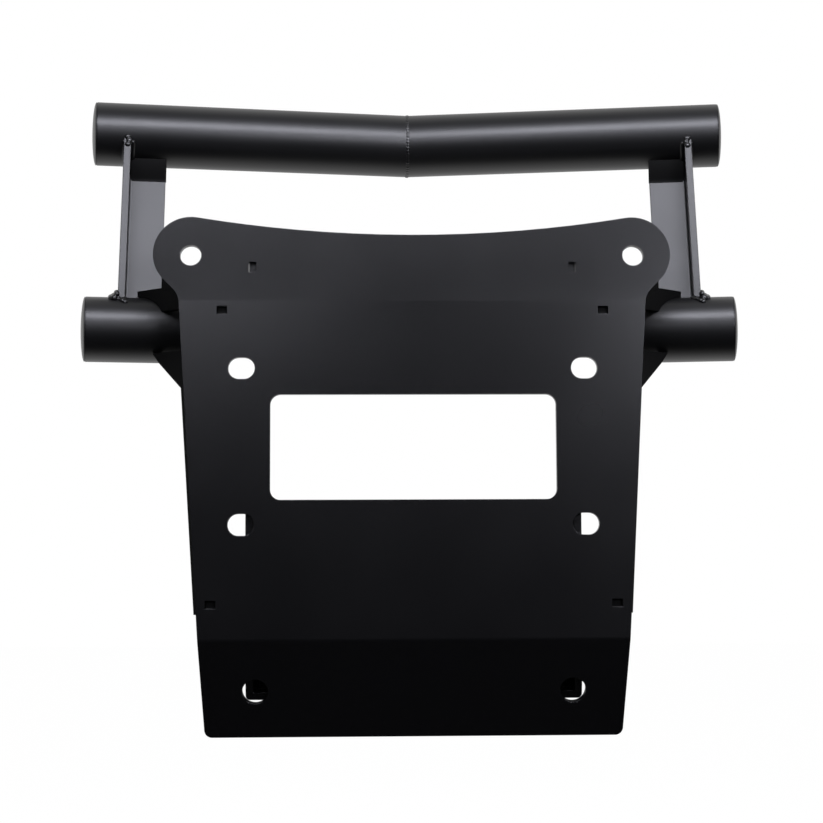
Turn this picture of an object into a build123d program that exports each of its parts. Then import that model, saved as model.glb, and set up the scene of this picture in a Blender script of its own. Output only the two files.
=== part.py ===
import os
from math import cos, radians, sin, tan

from build123d import *

os.makedirs("parts", exist_ok=True)

# Front bumper for a quad bike: two tube bars on a folded steel mounting plate.
# +Y is forward, away from the vehicle, +Z is up and +X is to the right as seen from the seat.
# The origin is the middle of the four slots, on the rear face of the mounting plate.
# All sizes are in millimetres.

# Steel sheet that the plate, gussets, uprights and pans are cut and folded from
sheet = 4.76
fold_radius = 3.0
weld_gap = 0.15
tab_clearance = 0.25

# Mounting plate: three flats, with the top one and the bottom one leaning forward
top_fold_z = 95.2
bottom_fold_z = -125.4
top_lean = 5.0
bottom_lean = 15.0
top_middle_rise = 45.0
bottom_flat = 65.0
waist_half_width = 153.3
side_taper = 0.0617
waist_radius = 14.0
bottom_corner_radius = 5.0

# Ears at the top of the plate, each round its bolt hole, set in from the plate's sides
ear_inset = 7.5
ear_rise = 31.0
ear_radius = 24.8
ear_hole_drop = 1.2
ear_hole_diameter = 14.0
ear_blend_angle = 9.0
ear_throat_angle = 45.0

# Four slots that bolt to the vehicle's frame, the window and the two lower holes
slot_spacing_x = 224.2
slot_spacing_z = 102.0
slot_length = 17.4
slot_width = 14.2
window_width = 186.7
window_height = 68.7
window_radius = 6.8
window_drop = 0.6
lower_hole_diameter = 16.8
lower_hole_x = 102.9
lower_hole_drop = 34.2

# Small slots that locate the tabs of the pieces behind the plate
tab_length = 6.4
tab_recess = 3.0
upper_tab_x = 125.0
upper_tab_z = 89.3
lower_tab_x = 131.6
lower_tab_z = -102.3
channel_tab_rise = 23.0

# Bars: steel tube, each half swept forward towards the middle
tube_diameter = 44.45
tube_wall = 3.05
sweep = 8.88
upper_half_length = 223.8
upper_end_y = 86.2
upper_z = 228.6
lower_half_length = 224.4
lower_end_y = 49.1
lower_z = 83.7
lower_inner_x = 132.0
cap_thickness = 3.3
cap_flat_radius = 10.0

# Uprights: folded angles between the bars, with one leg's edge to the rear
upright_x = 198.8
upright_depth = 25.0
upright_width = 30.2
upright_fold_radius = 2.0
upright_back_upper = 20.4
upright_back_lower = 14.0

# Side gussets: flat plates from the mounting plate out to the lower bar
gusset_angle = 39.6
gusset_reach = 78.5
gusset_crown_z = 110.2
gusset_root_z = 118.0
gusset_step_reach = 50.0
gusset_throat_z = 59.0
gusset_throat_reach = 56.0
gusset_waist_reach = 34.5
gusset_waist_z = 40.5
gusset_foot_reach = 18.0
gusset_foot_z = -109.0
gusset_throat_radius = 22.0
gusset_notch_reach = 28.0
gusset_notch_top_z = 94.0
gusset_notch_bottom_z = 66.0
gusset_notch_radius = 10.0

# Channel and pan folded from sheet, behind the plate
channel_half_width = 107.7
channel_depth = 45.0
channel_top_z = 128.0
channel_bottom_z = 72.0
pan_half_width = 109.4
pan_depth = 65.0
pan_top_z = -37.0
pan_bottom_z = -164.0

# Weld beads
bead = 2.2
seam_width = 3.4
seam_height = 0.5

# Worked out from the sizes above
tube_radius = tube_diameter / 2
sweep_slope = tan(radians(sweep))
beyond = 400.0

top_section = Plane(
    origin=(0, 0, top_fold_z),
    x_dir=(1, 0, 0),
    z_dir=(0, -cos(radians(top_lean)), sin(radians(top_lean))),
)
bottom_section = Plane(
    origin=(0, 0, bottom_fold_z),
    x_dir=(1, 0, 0),
    z_dir=(0, -cos(radians(bottom_lean)), -sin(radians(bottom_lean))),
)


def upper_axis_y(x):
    """Forward place of the upper bar's axis at a distance from the middle."""
    return upper_end_y + (upper_half_length - abs(x)) * sweep_slope


def lower_axis_y(x):
    """Forward place of the lower bar's axis at a distance from the middle."""
    return lower_end_y + (lower_half_length - abs(x)) * sweep_slope


def half_width_at(z):
    """Half the plate's width on its straight tapered sides."""
    return waist_half_width + (z - top_fold_z) * side_taper


def finish(piece, name):
    """Label a finished piece and write it to its own file."""
    piece.part.label = name
    export_step(piece.part, f"parts/{name}.step")


def mirrored(piece):
    """The same piece on the other side of the bumper."""
    with BuildPart() as other:
        mirror(piece.part, about=Plane.YZ)
    return other


# Left half of each bar as an endless rod, to cope the pieces that meet it
def bar_rod(end_x, end_y, z, radius):
    end = Vector(-end_x, end_y, z)
    along = Vector(cos(radians(sweep)), sin(radians(sweep)), 0)
    with BuildPart() as rod:
        with BuildSketch(Plane(origin=end - along * tube_diameter, x_dir=(0, 0, 1), z_dir=along)):
            Circle(radius)
        extrude(amount=beyond)
    return rod


upper_rod = bar_rod(upper_half_length, upper_end_y, upper_z, tube_radius + weld_gap)
lower_rod = bar_rod(lower_half_length, lower_end_y, lower_z, tube_radius + weld_gap)


# Mounting plate
def fold_points(length_up, length_down):
    """Side view of the folded plate as (forward, up) points, rear face first."""
    up_y = sin(radians(top_lean))
    up_z = cos(radians(top_lean))
    down_y = sin(radians(bottom_lean))
    down_z = cos(radians(bottom_lean))
    top_end = (length_up * up_y, top_fold_z + length_up * up_z)
    bottom_end = (length_down * down_y, bottom_fold_z - length_down * down_z)
    return [
        top_end,
        (0, top_fold_z),
        (0, bottom_fold_z),
        bottom_end,
        (bottom_end[0] + sheet * down_z, bottom_end[1] + sheet * down_y),
        (sheet, bottom_fold_z + sheet * tan(radians(bottom_lean / 2))),
        (sheet, top_fold_z - sheet * tan(radians(top_lean / 2))),
        (top_end[0] + sheet * up_z, top_end[1] - sheet * up_y),
    ]


ear_x = waist_half_width - ear_inset
ear_z = top_fold_z + (ear_rise + ear_hole_drop) * cos(radians(top_lean))
plate_middle_z = top_fold_z + top_middle_rise * cos(radians(top_lean))
plate_bottom_z = bottom_fold_z - bottom_flat * cos(radians(bottom_lean))


def ear_point(angle):
    """Point on the right ear's edge, at an angle from straight outboard."""
    return (ear_x + ear_radius * cos(radians(angle)), ear_z + ear_radius * sin(radians(angle)))


def waist_point():
    """Where the ear's slanting throat meets the tapered side."""
    throat_x, throat_z = ear_point(-ear_throat_angle)
    run = (throat_x - half_width_at(throat_z)) / (1 - side_taper)
    return (throat_x - run, throat_z - run)


def flip(point):
    return (-point[0], point[1])


crown = ear_point(90 + ear_blend_angle)
outer = ear_point(0)
throat = ear_point(-ear_throat_angle)
waist = waist_point()
foot = (half_width_at(plate_bottom_z), plate_bottom_z)

with BuildPart() as mount_plate:
    with BuildSketch(Plane.YZ) as fold:
        with BuildLine():
            Polyline(*fold_points(ear_rise + 2 * ear_radius, bottom_flat + 2 * sheet), close=True)
        make_face()
        fillet(fold.vertices().filter_by_position(Axis.X, -0.01, 0.01), fold_radius + sheet)
        fillet(fold.vertices().filter_by_position(Axis.X, sheet - 0.01, sheet + 0.01), fold_radius)
    extrude(amount=beyond, both=True)
    with BuildSketch(Plane.XZ) as outline:
        with BuildLine():
            ThreePointArc(flip(crown), (0, plate_middle_z), crown)
            ThreePointArc(crown, outer, throat)
            Polyline(throat, waist, foot, flip(foot), flip(waist), flip(throat))
            ThreePointArc(flip(throat), flip(outer), flip(crown))
        make_face()
        fillet(outline.vertices().sort_by(Axis.Y)[:2], bottom_corner_radius)
        corners = [v for v in outline.vertices() if abs(v.Y - waist[1]) < 0.01]
        fillet(corners, waist_radius)
    extrude(amount=beyond, both=True, mode=Mode.INTERSECT)
    with BuildSketch(Plane.XZ):
        with GridLocations(slot_spacing_x, slot_spacing_z, 2, 2):
            SlotOverall(slot_length, slot_width)
        with Locations((0, -window_drop)):
            RectangleRounded(window_width, window_height, window_radius)
        tab_slot_length = tab_length + 2 * tab_clearance
        tab_slot_width = sheet + tab_clearance
        for place_x, place_z in ((upper_tab_x, upper_tab_z), (lower_tab_x, lower_tab_z)):
            with Locations((place_x, place_z), (-place_x, place_z)):
                Rectangle(tab_slot_length, tab_slot_width)
    extrude(amount=2 * sheet, both=True, mode=Mode.SUBTRACT)
    with BuildSketch(top_section):
        with Locations((ear_x, ear_rise), (-ear_x, ear_rise)):
            Circle(ear_hole_diameter / 2)
        channel_tab_x = channel_half_width - sheet / 2
        with Locations((channel_tab_x, channel_tab_rise), (-channel_tab_x, channel_tab_rise)):
            Rectangle(tab_slot_width, tab_slot_length)
    extrude(amount=2 * sheet, both=True, mode=Mode.SUBTRACT)
    with BuildSketch(bottom_section):
        with Locations((lower_hole_x, -lower_hole_drop), (-lower_hole_x, -lower_hole_drop)):
            Circle(lower_hole_diameter / 2)
    extrude(amount=2 * sheet, both=True, mode=Mode.SUBTRACT)
finish(mount_plate, "mount_plate")

# Everything on the vehicle's side of the plate's front face, to trim what is welded on
with BuildPart() as plate_side:
    with BuildSketch(Plane.YZ) as side:
        with BuildLine():
            front = fold_points(beyond, beyond)[4:]
            Polyline((-beyond, front[0][1]), *front, (-beyond, front[-1][1]), close=True)
        make_face()
        fillet(side.vertices().filter_by_position(Axis.X, sheet - 0.01, sheet + 0.01), fold_radius)
    extrude(amount=beyond, both=True)


# Bars and their end caps
def bar_half(end_x, end_y, z, inner_x):
    """Left half of a bar: a tube from its end to a square cut at inner_x."""
    end = Vector(-end_x, end_y, z)
    along = Vector(cos(radians(sweep)), sin(radians(sweep)), 0)
    with BuildPart() as tube:
        with BuildSketch(Plane(origin=end + along * cap_thickness, x_dir=(0, 0, 1), z_dir=along)):
            Circle(tube_radius)
            Circle(tube_radius - tube_wall, mode=Mode.SUBTRACT)
        extrude(amount=end_x / cos(radians(sweep)) + tube_radius)
        split(bisect_by=Plane.YZ.offset(-inner_x), keep=Keep.BOTTOM)
    return tube


def end_cap(end_x, end_y, z):
    """Disc welded over the outer end of a bar, its face ground to a low dome in flats."""
    along = Vector(cos(radians(sweep)), sin(radians(sweep)), 0)
    dome_angles = (0, 35)
    dome = [
        (tube_radius * cos(radians(a)), cap_thickness * (1 - sin(radians(a))))
        for a in dome_angles
    ]
    across = Plane(origin=(-end_x, end_y, z), x_dir=(0, 0, 1), z_dir=Vector(0, 0, 1).cross(along))
    with BuildPart() as cap:
        with BuildSketch(across):
            with BuildLine():
                Polyline((0, 0), (0, cap_thickness), *dome, (cap_flat_radius, 0), close=True)
            make_face()
        revolve(axis=Axis((-end_x, end_y, z), along))
    return cap


upper_tube_left = bar_half(upper_half_length, upper_end_y, upper_z, 0)
upper_tube_right = mirrored(upper_tube_left)
lower_tube_left = bar_half(lower_half_length, lower_end_y, lower_z, lower_inner_x)
lower_tube_right = mirrored(lower_tube_left)
upper_cap_left = end_cap(upper_half_length, upper_end_y, upper_z)
upper_cap_right = mirrored(upper_cap_left)
lower_cap_left = end_cap(lower_half_length, lower_end_y, lower_z)
lower_cap_right = mirrored(lower_cap_left)
finish(upper_tube_left, "upper_tube_left")
finish(upper_tube_right, "upper_tube_right")
finish(lower_tube_left, "lower_tube_left")
finish(lower_tube_right, "lower_tube_right")
finish(upper_cap_left, "upper_cap_left")
finish(upper_cap_right, "upper_cap_right")
finish(lower_cap_left, "lower_cap_left")
finish(lower_cap_right, "lower_cap_right")

# Uprights, each an angle that leans forward and is coped to both bars
upright_foot = Vector(-upright_x, lower_axis_y(upright_x) - upright_back_lower, lower_z)
upright_head = Vector(-upright_x, upper_axis_y(upright_x) - upright_back_upper, upper_z)
upright_rise = upright_head - upright_foot
bar_along = Vector(cos(radians(sweep)), sin(radians(sweep)), 0)
upright_plane = Plane(origin=upright_foot, x_dir=bar_along, z_dir=upright_rise)


angle_points = [
    (0, 0),
    (sheet, 0),
    (sheet, upright_depth - sheet),
    (upright_width, upright_depth - sheet),
    (upright_width, upright_depth),
    (0, upright_depth),
]


with BuildPart() as upright_left:
    with BuildSketch(upright_plane) as section:
        with BuildLine():
            Polyline(*angle_points, close=True)
        make_face()
        outer_fold = section.vertices().group_by(Axis.Y)[-1].sort_by(Axis.X)[0]
        fillet(outer_fold, upright_fold_radius + sheet)
        inner_fold = section.vertices().group_by(Axis.Y)[-2].sort_by(Axis.X)[0]
        fillet(inner_fold, upright_fold_radius)
    extrude(amount=upright_rise.length)
    add(upper_rod.part, mode=Mode.SUBTRACT)
    add(lower_rod.part, mode=Mode.SUBTRACT)
upright_right = mirrored(upright_left)
finish(upright_left, "upright_left")
finish(upright_right, "upright_right")

# Side gussets, in a plane that follows the slots which locate them
gusset_along = Vector(-cos(radians(gusset_angle)), sin(radians(gusset_angle)), 0)
gusset_up = Vector(lower_tab_x - upper_tab_x, 0, upper_tab_z - lower_tab_z).normalized()
gusset_plane = Plane(
    origin=(-upper_tab_x, sheet, upper_tab_z),
    x_dir=gusset_along,
    z_dir=gusset_along.cross(gusset_up),
)


def gusset_outline():
    """Outline in the gusset's plane: reach from the root line, height above the upper tab."""
    points = [
        (-2 * sheet, gusset_root_z),
        (gusset_step_reach - (gusset_root_z - gusset_crown_z), gusset_root_z),
        (gusset_step_reach, gusset_crown_z),
        (gusset_reach, gusset_crown_z),
        (gusset_reach, lower_z),
        (gusset_throat_reach, gusset_throat_z),
        (gusset_waist_reach, gusset_waist_z),
        (gusset_foot_reach, gusset_foot_z),
        (-2 * sheet, gusset_foot_z),
    ]
    return [(reach, z - upper_tab_z) for reach, z in points]


with BuildPart() as side_gusset_left:
    with BuildSketch(gusset_plane) as blank:
        with BuildLine():
            Polyline(*gusset_outline(), close=True)
        make_face()
        waist_corner = blank.vertices().sort_by_distance(gusset_plane.from_local_coords(
            (gusset_waist_reach, gusset_waist_z - upper_tab_z)))[0]
        fillet(waist_corner, gusset_throat_radius)
    extrude(amount=sheet / 2, both=True)
    with BuildSketch(gusset_plane) as notch:
        notch_height = gusset_notch_top_z - gusset_notch_bottom_z
        notch_middle_z = (gusset_notch_top_z + gusset_notch_bottom_z) / 2
        with Locations((gusset_notch_reach, notch_middle_z - upper_tab_z)):
            Rectangle(gusset_reach - gusset_notch_reach, notch_height, align=(Align.MIN, Align.CENTER))
        fillet(notch.vertices().sort_by_distance(gusset_plane.origin)[:2], gusset_notch_radius)
    extrude(amount=sheet, both=True, mode=Mode.SUBTRACT)
    add(lower_rod.part, mode=Mode.SUBTRACT)
    add(plate_side.part, mode=Mode.SUBTRACT)
    tab_depth = sheet - tab_recess
    for place_x, place_z in ((upper_tab_x, upper_tab_z), (lower_tab_x, lower_tab_z)):
        with Locations((-place_x, tab_recess + tab_depth / 2, place_z)):
            Box(tab_length, tab_depth, sheet - tab_clearance)
side_gusset_right = mirrored(side_gusset_left)
finish(side_gusset_left, "side_gusset_left")
finish(side_gusset_right, "side_gusset_right")

# Cross channel: a folded sheet that stiffens the plate between the lower bars
with BuildPart() as cross_channel:
    with BuildSketch(Plane.XY.offset(channel_bottom_z)) as section:
        with Locations((0, channel_depth / 2)):
            Rectangle(2 * channel_half_width, channel_depth)
        fillet(section.vertices().group_by(Axis.Y)[-1], fold_radius + sheet)
    extrude(amount=channel_top_z - channel_bottom_z)
    with BuildSketch(Plane.XY.offset(channel_bottom_z)) as hollow:
        with Locations((0, channel_depth / 2 - sheet)):
            Rectangle(2 * (channel_half_width - sheet), channel_depth)
        fillet(hollow.vertices().group_by(Axis.Y)[-1], fold_radius)
    extrude(amount=channel_top_z - channel_bottom_z, mode=Mode.SUBTRACT)
    add(plate_side.part, mode=Mode.SUBTRACT)
    with BuildSketch(top_section.offset(-tab_recess)):
        with Locations((channel_tab_x, channel_tab_rise), (-channel_tab_x, channel_tab_rise)):
            Rectangle(sheet - tab_clearance, tab_length)
    extrude(amount=-(sheet - tab_recess + weld_gap))
finish(cross_channel, "cross_channel")

# Lower pan: web, two sides and a floor folded from one sheet, with the floor under the holes
with BuildPart() as lower_pan:
    with BuildSketch(Plane.XY.offset(pan_bottom_z)) as section:
        with Locations((0, pan_depth / 2)):
            Rectangle(2 * pan_half_width, pan_depth)
        fillet(section.vertices().group_by(Axis.Y)[-1], fold_radius + sheet)
    extrude(amount=pan_top_z - pan_bottom_z)
    fillet(lower_pan.edges().group_by(Axis.Z)[0].group_by(Axis.Y)[-1], fold_radius)
    with BuildSketch(Plane.XY.offset(pan_bottom_z + sheet)) as hollow:
        with Locations((0, pan_depth / 2 - sheet)):
            Rectangle(2 * (pan_half_width - sheet), pan_depth)
        fillet(hollow.vertices().group_by(Axis.Y)[-1], fold_radius)
    extrude(amount=beyond, mode=Mode.SUBTRACT)
    add(plate_side.part, mode=Mode.SUBTRACT)
finish(lower_pan, "lower_pan")

# Seam weld round the mitre in the middle of the upper bar
upper_rod_right = mirrored(upper_rod)
with BuildPart() as centre_seam_weld:
    with BuildSketch(Plane.YZ.offset(-seam_width / 2)):
        with Locations((upper_axis_y(0), upper_z)):
            Ellipse((tube_radius + seam_height) / cos(radians(sweep)), tube_radius + seam_height)
    extrude(amount=seam_width)
    add(upper_rod.part, mode=Mode.SUBTRACT)
    add(upper_rod_right.part, mode=Mode.SUBTRACT)
finish(centre_seam_weld, "centre_seam_weld")


# Weld beads where an upright's deep leg meets a bar, round its rear edge and up both its faces
def upright_weld(rod, end_x, end_y, z):
    """Bead round the left upright's deep leg where it meets one bar."""
    shell = bar_rod(end_x, end_y, z, tube_radius + bead)
    with BuildPart() as weld:
        with BuildSketch(upright_plane):
            with Locations((-bead, -bead)):
                weld_width = sheet + 2 * bead
                weld_depth = upright_depth - sheet + bead
                Rectangle(weld_width, weld_depth, align=(Align.MIN, Align.MIN))
        extrude(amount=upright_rise.length)
        add(shell.part, mode=Mode.INTERSECT)
        add(rod.part, mode=Mode.SUBTRACT)
        add(upright_left.part, mode=Mode.SUBTRACT)
    return weld


upright_head_weld_left = upright_weld(upper_rod, upper_half_length, upper_end_y, upper_z)
upright_head_weld_right = mirrored(upright_head_weld_left)
upright_foot_weld_left = upright_weld(lower_rod, lower_half_length, lower_end_y, lower_z)
upright_foot_weld_right = mirrored(upright_foot_weld_left)
finish(upright_head_weld_left, "upright_head_weld_left")
finish(upright_head_weld_right, "upright_head_weld_right")
finish(upright_foot_weld_left, "upright_foot_weld_left")
finish(upright_foot_weld_right, "upright_foot_weld_right")
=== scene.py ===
import random
from math import cos, pi, radians, sin, tan

import bpy
from mathutils import Matrix, Vector


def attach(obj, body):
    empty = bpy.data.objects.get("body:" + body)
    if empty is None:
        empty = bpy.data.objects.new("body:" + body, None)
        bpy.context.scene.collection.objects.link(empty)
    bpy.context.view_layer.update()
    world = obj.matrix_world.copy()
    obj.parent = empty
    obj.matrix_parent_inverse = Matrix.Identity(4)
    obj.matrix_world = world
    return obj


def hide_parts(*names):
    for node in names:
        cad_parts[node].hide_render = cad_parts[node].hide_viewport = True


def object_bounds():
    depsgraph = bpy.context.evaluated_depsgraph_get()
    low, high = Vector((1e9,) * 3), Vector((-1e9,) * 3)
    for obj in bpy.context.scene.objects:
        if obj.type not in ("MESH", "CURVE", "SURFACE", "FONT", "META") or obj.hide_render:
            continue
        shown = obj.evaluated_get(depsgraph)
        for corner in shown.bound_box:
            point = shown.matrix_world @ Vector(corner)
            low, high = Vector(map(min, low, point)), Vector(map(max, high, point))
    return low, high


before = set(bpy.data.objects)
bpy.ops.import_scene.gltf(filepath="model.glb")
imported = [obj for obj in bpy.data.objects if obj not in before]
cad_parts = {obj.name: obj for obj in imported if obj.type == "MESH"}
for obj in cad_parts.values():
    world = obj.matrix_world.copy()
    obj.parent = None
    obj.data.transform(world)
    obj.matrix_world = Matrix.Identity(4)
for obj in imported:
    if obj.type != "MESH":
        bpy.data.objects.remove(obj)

cad_low, cad_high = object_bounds()


# Mounting plate: 3/16 inch mild steel sheet, laser cut and folded twice on a press brake.
# Its satin black powder coat is baked on after welding, so it runs smoothly over every edge.
def paint(hex_colour):
    """An sRGB hex colour as a linear one."""
    channels = [int(hex_colour[i:i + 2], 16) / 255 for i in (1, 3, 5)]
    return tuple(c / 12.92 if c <= 0.04045 else ((c + 0.055) / 1.055) ** 2.4 for c in channels) + (1.0,)


def add_node(material, kind, settings=None, **links):
    """Add one node, set its properties and values, and link the named inputs."""
    node = material.node_tree.nodes.new(kind)
    for name, value in (settings or {}).items():
        if name in node.inputs:
            node.inputs[name].default_value = value
        else:
            setattr(node, name, value)
    for name, source in links.items():
        material.node_tree.links.new(source, node.inputs[name.replace("_", " ")])
    return node


def powder_coat(name, colour, roughness, peel_mm, peel_depth_mm, edge_mm):
    """Satin black polyester powder: orange peel, fine grain and edges rounded by the film."""
    coat = bpy.data.materials.new(name)
    coat.use_nodes = True
    surface = coat.node_tree.nodes["Principled BSDF"]
    surface.inputs["Base Color"].default_value = paint(colour)
    surface.inputs["IOR"].default_value = 1.5
    place = add_node(coat, "ShaderNodeTexCoord").outputs["Object"]
    # Orange peel is the low swell left where the melted powder didn't level out
    peel = add_node(coat, "ShaderNodeTexNoise", {"Scale": 1000 / peel_mm, "Detail": 1.5}, Vector=place)
    # Real powder grain is under 0.1 mm. It is drawn at 0.7 mm, so that it shows at all
    grain_mm, grain_depth_mm = 0.7, 0.012
    grain = add_node(coat, "ShaderNodeTexNoise", {"Scale": 1000 / grain_mm, "Detail": 0.0}, Vector=place)
    edge = add_node(coat, "ShaderNodeBevel", {"samples": 6, "Radius": edge_mm / 1000})
    swell = add_node(coat, "ShaderNodeBump", {"Strength": 1.0, "Distance": peel_depth_mm / 1000},
                     Height=peel.outputs["Fac"], Normal=edge.outputs["Normal"])
    speck = add_node(coat, "ShaderNodeBump", {"Strength": 1.0, "Distance": grain_depth_mm / 1000},
                     Height=grain.outputs["Fac"], Normal=swell.outputs["Normal"])
    coat.node_tree.links.new(speck.outputs["Normal"], surface.inputs["Normal"])
    # The film bakes a little flatter and duller in slow patches, each about a hand's width
    patches_per_metre, patch_range = 14.0, 0.03
    patch = add_node(coat, "ShaderNodeTexNoise", {"Scale": patches_per_metre, "Detail": 2.0}, Vector=place)
    sheen = add_node(coat, "ShaderNodeMapRange",
                     {"To Min": roughness - patch_range, "To Max": roughness + patch_range},
                     Value=patch.outputs["Fac"])
    coat.node_tree.links.new(sheen.outputs["Result"], surface.inputs["Roughness"])
    return coat


def coat_node(name, coat):
    """Give a carried-over piece its coat."""
    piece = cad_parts[name]
    for place in piece.material_slots:
        place.material = coat
    if not piece.material_slots:
        piece.data.materials.append(coat)


# Flat sheet takes the glossiest film: a soft dark sheen that fades from top to bottom
sheet_coat = powder_coat("satin_black_powder_on_sheet", "#040405", roughness=0.26,
                         peel_mm=1.8, peel_depth_mm=0.010, edge_mm=0.5)
coat_node("mount_plate", sheet_coat)

# Cross channel: a shallow U of the same sheet, located by its two tabs and welded behind the plate.
# It keeps the top of the plate from flexing between the lower bars.
coat_node("cross_channel", sheet_coat)

# Lower pan: a folded box of the same sheet, welded over the front of the lower slots and holes.
# It shows from the vehicle's side only through those holes.
coat_node("lower_pan", sheet_coat)

# Side gussets: laser cut from the same sheet, each with two tabs in the plate's small slots.
# Each reaches out to a lower bar, where its edge is coped to the tube.
# Painted shade: a darker, duller copy of the same powder coat, for the pieces in the plate's shade
painted_shade_coat = powder_coat("painted_shade_black_powder", "#030303", roughness=0.62,
                        peel_mm=1.2, peel_depth_mm=0.014, edge_mm=0.5)
# Painted shade: the copy hardly reflects, so the gussets read as plain black beside the satin
# plate, as the shade behind the plate's ears shows them
painted_shade_coat.node_tree.nodes["Principled BSDF"].inputs["Specular IOR Level"].default_value = 0.12
coat_node("side_gusset_left", painted_shade_coat)
coat_node("side_gusset_right", painted_shade_coat)

# Lower bars: two short lengths of round steel tube, drawn smooth, with their outer ends closed.
# They are coated with the rest of the bumper, once everything is welded.
# The film is duller on the tube than on the sheet, and spreads each lamp into a wide soft band
tube_coat = powder_coat("satin_black_powder_on_tube", "#040405", roughness=0.40,
                        peel_mm=2.2, peel_depth_mm=0.008, edge_mm=0.5)
coat_node("lower_tube_left", tube_coat)
coat_node("lower_tube_right", tube_coat)

# Lower bars' end caps: discs of steel plate, welded in and then ground to a low dome.
# A fine groove stays where each cap meets its tube, and it shows as a dark line round the end.
MM = 0.001
TUBE_RADIUS = 22.225 * MM
SWEEP = radians(8.88)
CAP_RISE = 3.3 * MM
CAP_RADIUS = TUBE_RADIUS - 0.05 * MM
GROOVE = 0.5 * MM
NECK_LENGTH = 1.5 * GROOVE
NECK_RADIUS = TUBE_RADIUS - 0.35 * MM
UPPER_END = Vector((223.8, 86.2, 228.6)) * MM
LOWER_END = Vector((224.4, 49.1, 83.7)) * MM


def bar_frame(end, side):
    """Axes at a bar's outer end: x runs along the bar to the middle, y to the front, z up."""
    along = Vector((-side * cos(SWEEP), sin(SWEEP), 0))
    ahead = Vector((side * sin(SWEEP), cos(SWEEP), 0))
    axes = Matrix((along, ahead, Vector((0, 0, 1)))).transposed().to_4x4()
    return Matrix.Translation((side * end.x, end.y, end.z)) @ axes


def place_mesh(piece, where):
    """Move a piece's mesh to its place and leave the object itself at the origin."""
    bpy.ops.object.select_all(action="DESELECT")
    piece.select_set(True)
    bpy.context.view_layer.objects.active = piece
    piece.matrix_world = where
    bpy.ops.object.transform_apply(location=True, rotation=True, scale=True)
    if where.determinant() < 0:
        bpy.ops.object.mode_set(mode="EDIT")
        bpy.ops.mesh.select_all(action="SELECT")
        bpy.ops.mesh.normals_make_consistent(inside=False)
        bpy.ops.object.mode_set(mode="OBJECT")


def dress(piece, name, coat):
    """Name a finished piece, coat it, and let it stand in for its CAD node."""
    piece.name = name + "_finished"
    piece.data.materials.clear()
    piece.data.materials.append(coat)
    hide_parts(name)
    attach(piece, "root")


def domed_cap(name, end, side):
    """One ground cap: a neck down in the groove and a shallow elliptical dome over it."""
    bpy.ops.object.select_all(action="DESELECT")
    bpy.ops.mesh.primitive_cylinder_add(vertices=96, radius=NECK_RADIUS, depth=NECK_LENGTH,
                                        location=(CAP_RISE - NECK_LENGTH / 2, 0, 0), rotation=(0, pi / 2, 0))
    neck = bpy.context.object
    bpy.ops.mesh.primitive_uv_sphere_add(segments=96, ring_count=48, radius=1, rotation=(0, pi / 2, 0))
    dome = bpy.context.object
    bpy.ops.object.transform_apply(location=True, rotation=True, scale=True)
    dome_rise = CAP_RISE - GROOVE
    bpy.ops.object.mode_set(mode="EDIT")
    bpy.ops.mesh.select_all(action="SELECT")
    bpy.ops.transform.resize(value=(dome_rise, CAP_RADIUS, CAP_RADIUS))
    bpy.ops.transform.translate(value=(dome_rise, 0, 0))
    bpy.ops.mesh.bisect(plane_co=(dome_rise, 0, 0), plane_no=(1, 0, 0), use_fill=True, clear_outer=True)
    bpy.ops.object.mode_set(mode="OBJECT")
    bpy.ops.object.select_all(action="DESELECT")
    neck.select_set(True)
    dome.select_set(True)
    bpy.context.view_layer.objects.active = dome
    bpy.ops.object.join()
    bpy.ops.object.shade_smooth_by_angle(angle=radians(35))
    place_mesh(dome, bar_frame(end, side))
    dress(dome, name, cap_coat)


# The ground face keeps fine scratches under the film, so its highlight is soft and slightly uneven
cap_coat = powder_coat("satin_black_powder_on_ground_cap", "#040405", roughness=0.40,
                       peel_mm=1.5, peel_depth_mm=0.012, edge_mm=0.3)
domed_cap("lower_cap_left", LOWER_END, -1)
domed_cap("lower_cap_right", LOWER_END, 1)

# Uprights: angles folded from the sheet, coped at both ends to fit round the bars.
# The rear edge of each outer leg catches the light along its whole length.
# Their film is a little duller than the tubes', and the folded edges turn softly from face to face
upright_coat = powder_coat("satin_black_powder_on_folded_angle", "#040405", roughness=0.44,
                           peel_mm=1.8, peel_depth_mm=0.010, edge_mm=0.9)
coat_node("upright_left", upright_coat)
coat_node("upright_right", upright_coat)

# Upper bar: two lengths of the tube, mitred in the middle so that the bar sweeps to both sides.
# Its caps are like the lower ones.
coat_node("upper_tube_left", tube_coat)
coat_node("upper_tube_right", tube_coat)
domed_cap("upper_cap_left", UPPER_END, -1)
domed_cap("upper_cap_right", UPPER_END, 1)

# Seam weld, where the upper bar's two halves meet at the mitre: a narrow bead of small overlapping
# ripples, laid round the joint and dressed almost flush with the tube.
# The weld metal is smoother than the tube, so each ripple carries its own small bright point
weld_coat = powder_coat("satin_black_powder_on_weld", "#040405", roughness=0.34,
                        peel_mm=0.9, peel_depth_mm=0.006, edge_mm=0.2)


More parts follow.
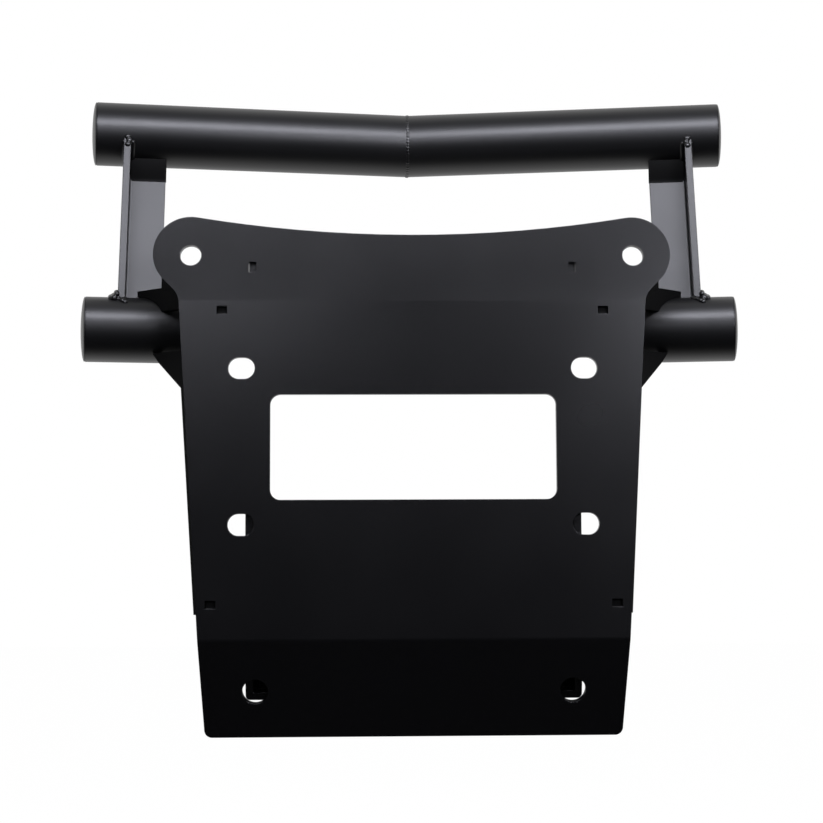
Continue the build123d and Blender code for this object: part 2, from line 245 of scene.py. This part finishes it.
def bead(name, drops, voxel):
    """Melt a chain of drops into one bead: each drop has its place, its half sizes and its turn."""
    parts = []
    for place, sizes, turn in drops:
        bpy.ops.object.select_all(action="DESELECT")
        bpy.ops.mesh.primitive_uv_sphere_add(segments=20, ring_count=12, radius=1,
                                             location=place, rotation=turn)
        parts.append(bpy.context.object)
        parts[-1].scale = sizes
    bpy.ops.object.select_all(action="DESELECT")
    for part in parts:
        part.select_set(True)
    bpy.context.view_layer.objects.active = parts[0]
    bpy.ops.object.join()
    bpy.ops.object.transform_apply(location=True, rotation=True, scale=True)
    melted = bpy.context.object
    melt = melted.modifiers.new("melt", "REMESH")
    melt.mode = "VOXEL"
    melt.voxel_size = voxel
    bpy.ops.object.modifier_apply(modifier=melt.name)
    relax = melted.modifiers.new("relax", "SMOOTH")
    relax.iterations = 2
    bpy.ops.object.modifier_apply(modifier=relax.name)
    bpy.ops.object.shade_smooth()
    dress(melted, name, weld_coat)


SEAM_RIPPLES = 64
SEAM_RIPPLE_SIZE = (1.6 * MM, 0.95 * MM, 1.5 * MM)
dice = random.Random(4)
mitre_y = UPPER_END.y + UPPER_END.x * tan(SWEEP)
seam_drops = []
for ripple in range(SEAM_RIPPLES):
    turn = 2 * pi * ripple / SEAM_RIPPLES
    sink = TUBE_RADIUS - (0.40 + 0.15 * dice.random()) * MM
    wander = 0.25 * MM * (dice.random() - 0.5)
    place = (wander, mitre_y + sink * cos(turn) / cos(SWEEP), UPPER_END.z + sink * sin(turn))
    seam_drops.append((place, SEAM_RIPPLE_SIZE, (turn, 0, 0)))
bead("centre_seam_weld", seam_drops, 0.25 * MM)

# Upright welds: short rippled beads where each upright's deep leg runs on to a bar. Under the upper bar
# a fillet faces down in the dark coat and stays black: painted shade of the bar on the upright's face.
UPRIGHT_VOXEL = 0.3 * MM
# Drops at the tip of the leg, in mm: along the bar from its end, ahead of its axis, above it, size
HEAD_TIP = ((24.4, -21.2, -6.6, 2.5), (25.3, -21.9, -9.4, 2.3), (24.3, -22.4, -12.0, 2.2))
# Rows down both sides of the leg: mm along the bar, first angle up from the rear, degrees from
# drop to drop, mm off the tube, size
HEAD_ROWS = ((22.2, -27, -4.0, -0.9, 2.1), (27.8, -27, -3.0, -0.9, 2.1))
FOOT_ROWS = ((22.2, 62, 5, 0.5, 2.6), (20.2, 64, 5, -0.4, 2.4),
             (23.8, 64, 5, 3.2, 1.9), (28.4, 64, 4, -0.7, 2.0))
# The foot's slanting bead across the end of the leg, in mm along the bar
FOOT_SLANT = (23.2, 24.4, 25.6, 26.8, 28.0, 29.2)
# The fillet's section, in mm ahead of the bar's axis and above it, and its span along the bar
FILLET_SECTION = ((-3.0, -19.0), (-11.5, -18.0), (-11.4, -19.6), (-8.6, -27.7), (-7.7, -30.4),
                  (-7.0, -32.2), (-6.6, -33.6), (-6.7, -34.6), (-5.8, -34.6), (-3.6, -24.0))
FILLET_START, FILLET_LENGTH = 27.0, 24.8


def bar_drop(end, side, along, angle, lift, size):
    """A drop on a bar: distance from the bar's end, angle up from the rear, height off the tube."""
    reach = TUBE_RADIUS + lift
    place = bar_frame(end, side) @ Vector((along, -reach * cos(radians(angle)), reach * sin(radians(angle))))
    return (place, (size, size, size), (0, 0, 0))


def drop_rows(end, side, rows, count):
    """Rows of drops round a bar, taken side by side."""
    return [bar_drop(end, side, along * MM, angle + pitch * step, lift * MM, size * MM)
            for step in range(count) for along, angle, pitch, lift, size in rows]


def painted_shade_fillet(side, word):
    """A fillet of painted shade between the upper bar's underside and the upright's face."""
    bpy.ops.object.select_all(action="DESELECT")
    bpy.ops.mesh.primitive_plane_add(size=1)
    fillet = bpy.context.object
    bpy.ops.object.mode_set(mode="EDIT")
    bpy.ops.mesh.select_mode(type="VERT")
    bpy.ops.mesh.select_all(action="SELECT")
    bpy.ops.mesh.merge(type="CENTER")
    corners = [Vector((FILLET_START, y, z)) * MM for y, z in FILLET_SECTION]
    bpy.ops.transform.translate(value=corners[0])
    for last, corner in zip(corners, corners[1:]):
        bpy.ops.mesh.extrude_region_move(TRANSFORM_OT_translate={"value": corner - last})
    bpy.ops.mesh.select_all(action="SELECT")
    bpy.ops.mesh.edge_face_add()
    bpy.ops.mesh.extrude_region_move(TRANSFORM_OT_translate={"value": (FILLET_LENGTH * MM, 0, 0)})
    bpy.ops.mesh.select_all(action="SELECT")
    bpy.ops.mesh.normals_make_consistent(inside=False)
    bpy.ops.object.mode_set(mode="OBJECT")
    bpy.ops.object.shade_smooth_by_angle(angle=radians(40))
    place_mesh(fillet, bar_frame(UPPER_END, side))
    fillet.name = "painted_shade_fillet_" + word
    # Painted shade: the fillet takes the dark coat, so it stays black under the bar
    fillet.data.materials.append(painted_shade_coat)
    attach(fillet, "root")


for side, word in ((-1, "left"), (1, "right")):
    head_drops = []
    for along, ahead, up, size in HEAD_TIP:
        place = bar_frame(UPPER_END, side) @ (Vector((along, ahead, up)) * MM)
        head_drops.append((place, (size * MM, 0.8 * size * MM, 0.9 * size * MM), (0, 0, 0)))
    head_drops += drop_rows(UPPER_END, side, HEAD_ROWS, 14)
    bead("upright_head_weld_" + word, head_drops, UPRIGHT_VOXEL)
    # The slant runs down towards the middle on the left and outwards on the right
    slant = FOOT_SLANT if side < 0 else FOOT_SLANT[::-1]
    foot_drops = [bar_drop(LOWER_END, side, along * MM, 68 - 3.4 * step, -0.3 * MM, (2.3, 2.0)[step % 2] * MM)
                  for step, along in enumerate(slant)]
    foot_drops += drop_rows(LOWER_END, side, FOOT_ROWS, 12)
    bead("upright_foot_weld_" + word, foot_drops, UPRIGHT_VOXEL)
    painted_shade_fillet(side, word)

# Gusset ears: the small raised ends of the side gussets, close behind the mounting plate's ears.
# They are part of the same laser cut sheet and carry the same dark coat of painted shade.
GUSSET_ANGLE = radians(39.7)
EAR_SIZE = (14.0 * MM, 4.6 * MM, 9.8 * MM)
EAR_MIDDLE = Vector((161.9, 35.7, 112.9)) * MM
for side, word in ((-1, "left"), (1, "right")):
    bpy.ops.object.select_all(action="DESELECT")
    bpy.ops.mesh.primitive_cube_add(size=1, location=(side * EAR_MIDDLE.x, EAR_MIDDLE.y, EAR_MIDDLE.z),
                                    rotation=(0, 0, side * GUSSET_ANGLE), scale=EAR_SIZE)
    ear = bpy.context.object
    bpy.ops.object.transform_apply(location=True, rotation=True, scale=True)
    ear.name = "gusset_ear_" + word
    ear.data.materials.append(painted_shade_coat)
    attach(ear, "root")

# Floor: a plain pale sweep under and beyond the bumper, which is held up in its installed frame.
# It shows as white, with the faint shadow that the piece throws on it.
FLOOR_SIZE = 14.0
FLOOR_DROP = 0.35
FLOOR_WHITE_SHARE = 0.9
FLOOR_WHITE = 1.06
bpy.ops.object.select_all(action="DESELECT")
bpy.ops.mesh.primitive_plane_add(size=FLOOR_SIZE, location=(0, 4.0, cad_low.z - FLOOR_DROP))
floor = bpy.context.object
floor.name = "floor"
bpy.ops.object.transform_apply(location=True, rotation=True, scale=True)
pale = bpy.data.materials.new("pale_studio_sweep")
pale.use_nodes = True
pale.node_tree.nodes.clear()
link_pale = pale.node_tree.links.new
# The matt paper takes the shadow, and an even white over it lifts the paper to the photograph's white
matt = add_node(pale, "ShaderNodeBsdfDiffuse", {"Color": paint("#E9E9EA")})
white = add_node(pale, "ShaderNodeEmission", {"Color": (1, 1, 1, 1), "Strength": FLOOR_WHITE})
ray = add_node(pale, "ShaderNodeLightPath")
seen = add_node(pale, "ShaderNodeMath", {"operation": "MAXIMUM"})
link_pale(ray.outputs["Is Camera Ray"], seen.inputs[0])
link_pale(ray.outputs["Is Transmission Ray"], seen.inputs[1])
share = add_node(pale, "ShaderNodeMath", {"operation": "MULTIPLY"})
share.inputs[1].default_value = FLOOR_WHITE_SHARE
link_pale(seen.outputs[0], share.inputs[0])
shown = add_node(pale, "ShaderNodeMixShader")
link_pale(share.outputs[0], shown.inputs[0])
link_pale(matt.outputs[0], shown.inputs[1])
link_pale(white.outputs[0], shown.inputs[2])
# Reflections see the sweep bright beyond the bumper and fading to dark on the vehicle's side
floor_place = add_node(pale, "ShaderNodeTexCoord")
floor_axes = add_node(pale, "ShaderNodeSeparateXYZ", Vector=floor_place.outputs["Object"])
floor_fade = add_node(pale, "ShaderNodeMapRange",
                      {"From Min": 0.0, "From Max": 0.35, "To Min": 0.02, "To Max": 1.0},
                      Value=floor_axes.outputs["Y"])
mirrored = add_node(pale, "ShaderNodeEmission", {"Color": (1, 1, 1, 1)},
                    Strength=floor_fade.outputs["Result"])
mix = add_node(pale, "ShaderNodeMixShader")
link_pale(ray.outputs["Is Glossy Ray"], mix.inputs[0])
link_pale(shown.outputs[0], mix.inputs[1])
link_pale(mirrored.outputs[0], mix.inputs[2])
out = add_node(pale, "ShaderNodeOutputMaterial")
link_pale(mix.outputs[0], out.inputs[0])
floor.data.materials.append(pale)

# Studio: a dark room on the vehicle's side and a white surround beyond the bumper, with one strip
# light overhead and two low ones far behind the camera. Their light is a little blue, as the
# greys in the photograph are.
world = bpy.data.worlds.new("studio")
bpy.context.scene.world = world
world.use_nodes = True
world.node_tree.nodes.clear()
link_world = world.node_tree.links.new
toward = add_node(world, "ShaderNodeTexCoord")
toward_axes = add_node(world, "ShaderNodeSeparateXYZ", Vector=toward.outputs["Generated"])
room_fade = add_node(world, "ShaderNodeMapRange",
                     {"From Min": -0.35, "From Max": 0.30, "To Min": 0.01, "To Max": 0.95},
                     Value=toward_axes.outputs["Y"])
room = add_node(world, "ShaderNodeBackground", {"Color": (1, 1, 1, 1)}, Strength=room_fade.outputs["Result"])
surround = add_node(world, "ShaderNodeBackground", {"Color": (1, 1, 1, 1), "Strength": 1.0})
world_ray = add_node(world, "ShaderNodeLightPath")
world_seen = add_node(world, "ShaderNodeMath", {"operation": "MAXIMUM"})
link_world(world_ray.outputs["Is Camera Ray"], world_seen.inputs[0])
link_world(world_ray.outputs["Is Transmission Ray"], world_seen.inputs[1])
world_mix = add_node(world, "ShaderNodeMixShader")
link_world(world_seen.outputs[0], world_mix.inputs[0])
link_world(room.outputs[0], world_mix.inputs[1])
link_world(surround.outputs[0], world_mix.inputs[2])
world_out = add_node(world, "ShaderNodeOutputWorld")
link_world(world_mix.outputs[0], world_out.inputs[0])

LAMP_AIM = (0, 0.05, 0.08)
LAMP_COLOUR = (0.99, 1.0, 1.11)


def soft_box(name, place, width, height, power):
    """A rectangular soft box pointed at the bumper."""
    bpy.ops.object.select_all(action="DESELECT")
    bpy.ops.object.light_add(type="AREA", location=place)
    lamp = bpy.context.object
    lamp.name = name
    lamp.data.shape = "RECTANGLE"
    lamp.data.size = width
    lamp.data.size_y = height
    lamp.data.energy = power
    lamp.data.color = LAMP_COLOUR
    lamp.rotation_euler = (Vector(LAMP_AIM) - Vector(place)).to_track_quat("-Z", "Y").to_euler()


# Sizes in metres and power in watts, matched to where the highlights lie on the bars
soft_box("overhead_strip", (0.070, -0.500, 0.607), width=1.20, height=0.114, power=11.7)
soft_box("low_strip_left", (-0.685, -1.571, 0.460), width=1.20, height=0.100, power=2.9)
soft_box("low_strip_right", (0.787, -1.600, 0.481), width=0.452, height=0.100, power=7.6)

# Camera: at the photograph's distance and angle, a little below the middle and to the left.
# It looks up by 5.4 degrees from the vehicle's side.
CAMERA_TURN, CAMERA_RISE, CAMERA_ROLL = radians(-1.741), radians(5.449), radians(-0.287)
bpy.ops.object.camera_add(location=(-0.03591, -1.13852, -0.08630))
camera = bpy.context.object
turn = Matrix.Rotation(CAMERA_TURN, 4, "Z") @ Matrix.Rotation(pi / 2 + CAMERA_RISE, 4, "X")
turn = turn @ Matrix.Rotation(CAMERA_ROLL, 4, "Z")
camera.rotation_euler = turn.to_euler()
camera.data.sensor_width = 36.0
camera.data.lens = 76.77
bpy.context.scene.camera = camera
bpy.context.scene.view_settings.view_transform = "Standard"
